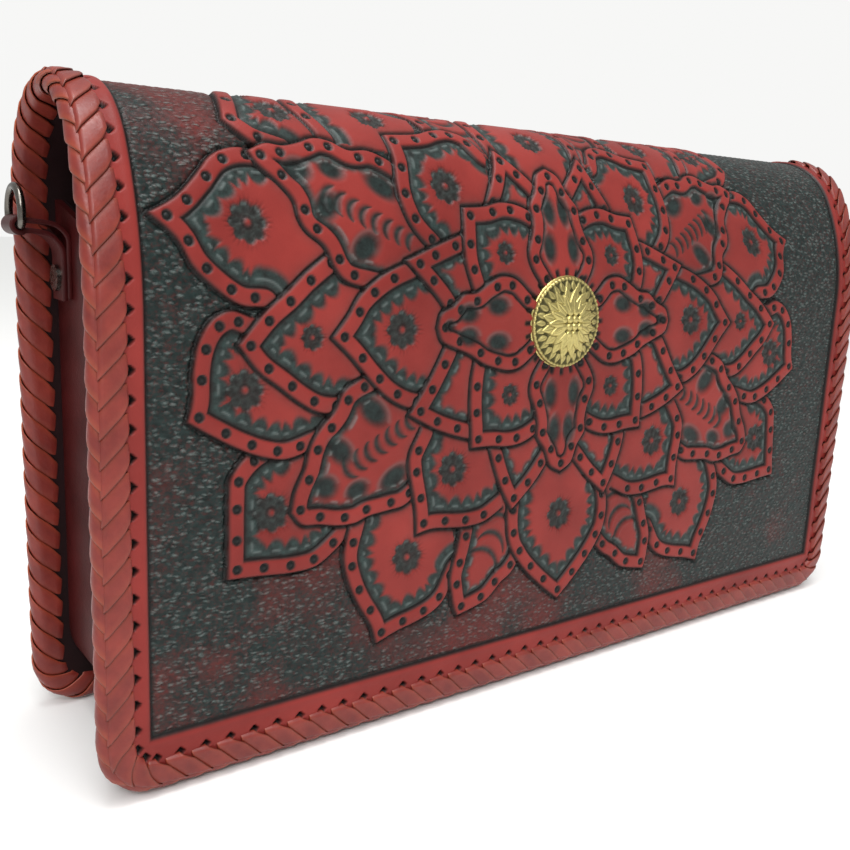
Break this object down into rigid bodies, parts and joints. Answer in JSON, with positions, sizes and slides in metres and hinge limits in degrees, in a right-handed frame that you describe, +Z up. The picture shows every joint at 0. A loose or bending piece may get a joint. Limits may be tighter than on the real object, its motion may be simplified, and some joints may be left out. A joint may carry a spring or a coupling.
{
  "type": "hand-laced leather flap clutch bag",
  "caption": "Leather clutch bag with a tooled fold-over flap, braided lace edges, a pleat-free U gusset, a sunflower concho over a magnetic snap, and a D-ring at each side.",
  "frame": {"origin": "middle of the width and of the depth, on the surface that the bag stands on", "axes": "+X across the width, from the bag's left as seen from the front to its right; the flap's tooled face is on -Y; +Z up"},
  "size_m": [0.276, 0.06, 0.154],
  "materials": {
    "tooled_leather": "carved and stamped, oxblood red with a dark antiqued ground, satin",
    "red_leather": "smooth oxblood red, satin",
    "lace": "flat red lacing strip, satin",
    "dark_lining": "thin dark wine lining leather, matt",
    "antique_brass": "antiqued cast brass, dark in its recesses",
    "nickel": "polished nickel-plated steel"
  },
  "bodies": {
    "bag": {"back_leather": "tooled_leather", "back_lining": "dark_lining", "back_lace": "lace", "gusset_leather": "red_leather", "gusset_lining": "dark_lining", "front_leather": "red_leather", "front_lining": "dark_lining", "front_lace": "lace", "mouth_binding": "lace", "ring_tab_left": "red_leather", "ring_tab_right": "red_leather", "tab_rivets": "nickel", "snap_socket": "nickel", "snap_socket_washer": "nickel"},
    "fold": {"fold_leather": "tooled_leather", "fold_lining": "dark_lining", "fold_lace_left": "lace", "fold_lace_right": "lace"},
    "flap": {"flap_leather": "tooled_leather", "flap_lining": "dark_lining", "flap_lace": "lace", "concho": "antique_brass", "concho_screw": "antique_brass", "snap_stud": "nickel", "snap_stud_washer": "nickel"},
    "left_ring": {"ring_left": "nickel"},
    "right_ring": {"ring_right": "nickel"}
  },
  "joints": [
    {"name": "fold_bend", "type": "hinge", "parent": "bag", "child": "fold", "pos_m": [0, 0.02026, 0.14426], "axis": [-1, 0, 0], "range_deg": [0, 90]},
    {"name": "flap_bend", "type": "hinge", "parent": "fold", "child": "flap", "pos_m": [0, -0.01182, 0.14445], "axis": [-1, 0, 0], "range_deg": [0, 90]},
    {"name": "ring_swing_left", "type": "hinge", "parent": "bag", "child": "left_ring", "pos_m": [-0.1358, 0.017, 0.1216], "axis": [0, -1, 0], "range_deg": [0, 180]},
    {"name": "ring_swing_right", "type": "hinge", "parent": "bag", "child": "right_ring", "pos_m": [0.1358, 0.017, 0.1216], "axis": [0, 1, 0], "range_deg": [0, 180]}
  ]
}
